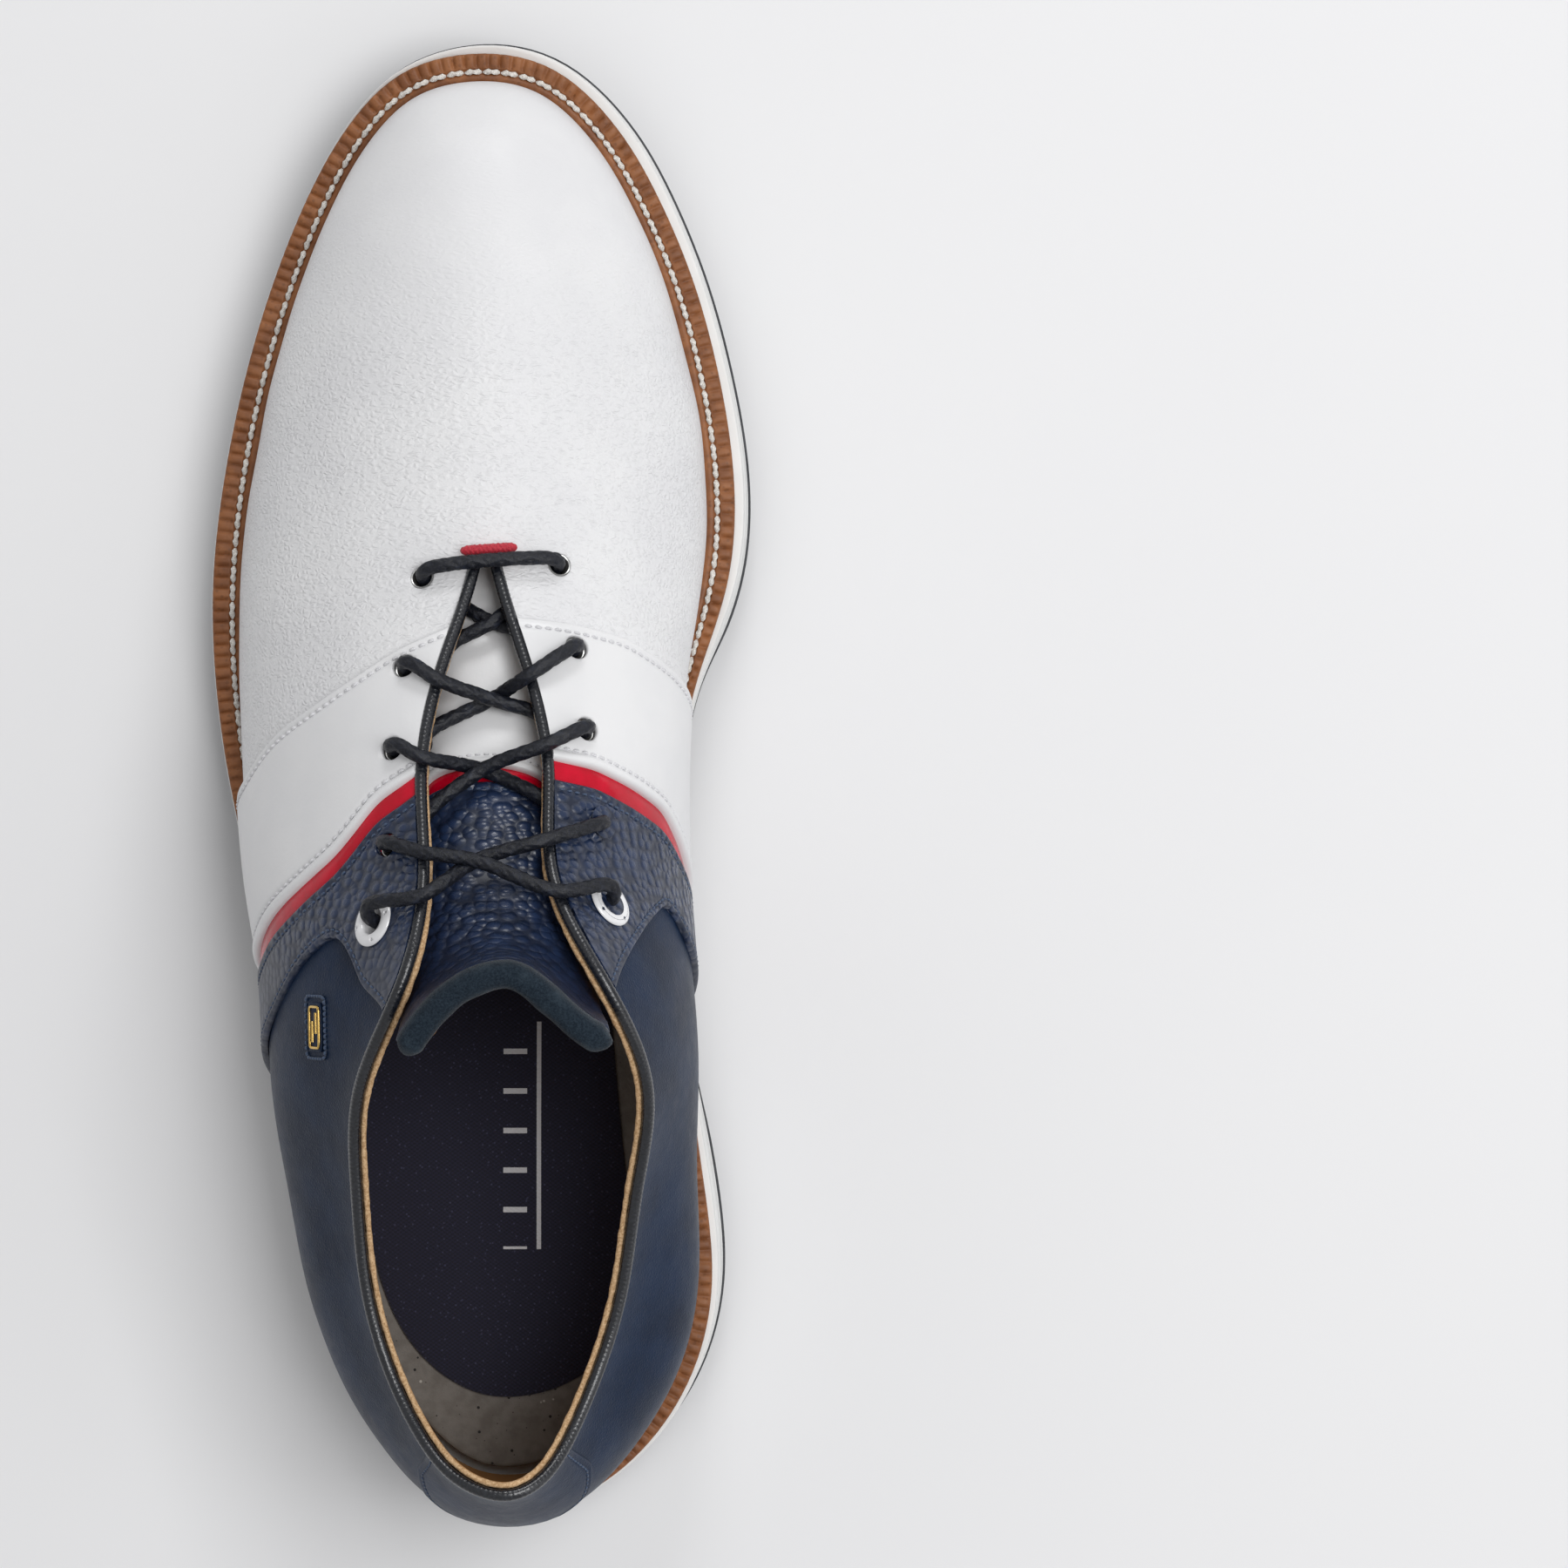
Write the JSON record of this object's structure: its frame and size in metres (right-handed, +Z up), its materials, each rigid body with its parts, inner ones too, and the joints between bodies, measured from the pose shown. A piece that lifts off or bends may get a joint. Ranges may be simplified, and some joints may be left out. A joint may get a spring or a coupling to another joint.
{
  "type": "golf shoe",
  "caption": "Left lace-up golf shoe with a saddle-style leather upper, padded tongue, welted sole and twist-lock soft cleats.",
  "frame": {"origin": "middle of the shoe's outline, on the ground that its cleats stand on", "axes": "+Z up, -Y towards the toe, +X towards the outer (lateral) side"},
  "size_m": [0.112, 0.3023, 0.1171],
  "materials": {
    "charcoal_rubber": "matte",
    "white_sole": "satin",
    "brown_welt": "waxed",
    "cork_filler": "rough",
    "insole_board": "rough",
    "shank_steel": "brushed",
    "grey_foam": "matte speckled",
    "dark_cloth": "fine knit",
    "cleat_plastic": "satin",
    "white_leather": "smooth to finely tumbled",
    "tan_leather": "soft, matte",
    "stiffener": "matte",
    "red_patent": "patent gloss",
    "pebbled_navy": "pebbled",
    "smooth_navy": "smooth, soft sheen",
    "black_bead": "polished",
    "navy_suede": "napped",
    "eyelet_steel": "satin",
    "white_enamel": "gloss",
    "lace_cord": "waxed braid",
    "aglet_plastic": "gloss",
    "red_thread": "thread",
    "gold_badge": "polished"
  },
  "bodies": {
    "shoe": {"outsole": "charcoal_rubber", "midsole": "white_sole", "welt": "brown_welt", "filler": "cork_filler", "insole_board": "insole_board", "shank": "shank_steel", "footbed_foam": "grey_foam", "footbed_cover": "dark_cloth", "receptacle_1": "charcoal_rubber", "receptacle_2": "charcoal_rubber", "receptacle_3": "charcoal_rubber", "receptacle_4": "charcoal_rubber", "receptacle_5": "charcoal_rubber", "receptacle_6": "charcoal_rubber", "receptacle_7": "charcoal_rubber", "vamp": "white_leather", "vamp_lining": "tan_leather", "toe_puff": "stiffener", "quarter_lining": "tan_leather", "heel_counter": "stiffener", "saddle_lateral": "white_leather", "accent_lateral": "red_patent", "eyestay_lateral": "pebbled_navy", "quarter_lateral": "smooth_navy", "saddle_medial": "white_leather", "accent_medial": "red_patent", "eyestay_medial": "pebbled_navy", "quarter_medial": "smooth_navy", "heel_tab": "smooth_navy", "topline_bead": "black_bead", "eyelet_lateral_1": "eyelet_steel", "eyelet_lateral_2": "eyelet_steel", "eyelet_lateral_3": "eyelet_steel", "eyelet_lateral_4": "eyelet_steel", "top_eyelet_lateral": "white_enamel", "eyelet_medial_1": "eyelet_steel", "eyelet_medial_2": "eyelet_steel", "eyelet_medial_3": "eyelet_steel", "eyelet_medial_4": "eyelet_steel", "top_eyelet_medial": "white_enamel", "lace": "lace_cord", "aglet_lateral": "aglet_plastic", "aglet_medial": "aglet_plastic", "bar_tack": "red_thread", "side_badge": "gold_badge"},
    "tongue": {"tongue_base": "white_leather", "tongue_accent": "red_patent", "tongue_cover": "pebbled_navy", "tongue_foam": "grey_foam", "tongue_lining": "tan_leather", "tongue_binding": "navy_suede"},
    "cleat_1": {"cleat_1": "cleat_plastic"},
    "cleat_2": {"cleat_2": "cleat_plastic"},
    "cleat_3": {"cleat_3": "cleat_plastic"},
    "cleat_4": {"cleat_4": "cleat_plastic"},
    "cleat_5": {"cleat_5": "cleat_plastic"},
    "cleat_6": {"cleat_6": "cleat_plastic"},
    "cleat_7": {"cleat_7": "cleat_plastic"}
  },
  "joints": [
    {"name": "tongue_hinge", "type": "hinge", "parent": "shoe", "child": "tongue", "pos_m": [-0.0041, -0.046, 0.0545], "axis": [-1, 0, 0], "range_deg": [0, 10]},
    {"name": "cleat_1_twist", "type": "hinge", "parent": "shoe", "child": "cleat_1", "pos_m": [0.031, -0.078, 0.006], "axis": [0, 0, -1], "range_deg": [0, 60]},
    {"name": "cleat_2_twist", "type": "hinge", "parent": "shoe", "child": "cleat_2", "pos_m": [0.038, -0.04, 0.006], "axis": [0, 0, -1], "range_deg": [0, 60]},
    {"name": "cleat_3_twist", "type": "hinge", "parent": "shoe", "child": "cleat_3", "pos_m": [-0.003, -0.099, 0.006], "axis": [0, 0, -1], "range_deg": [0, 60]},
    {"name": "cleat_4_twist", "type": "hinge", "parent": "shoe", "child": "cleat_4", "pos_m": [-0.034, -0.072, 0.006], "axis": [0, 0, -1], "range_deg": [0, 60]},
    {"name": "cleat_5_twist", "type": "hinge", "parent": "shoe", "child": "cleat_5", "pos_m": [-0.033, -0.034, 0.006], "axis": [0, 0, -1], "range_deg": [0, 60]},
    {"name": "cleat_6_twist", "type": "hinge", "parent": "shoe", "child": "cleat_6", "pos_m": [0.017, 0.098, 0.006], "axis": [0, 0, -1], "range_deg": [0, 60]},
    {"name": "cleat_7_twist", "type": "hinge", "parent": "shoe", "child": "cleat_7", "pos_m": [-0.027, 0.1, 0.006], "axis": [0, 0, -1], "range_deg": [0, 60]}
  ]
}
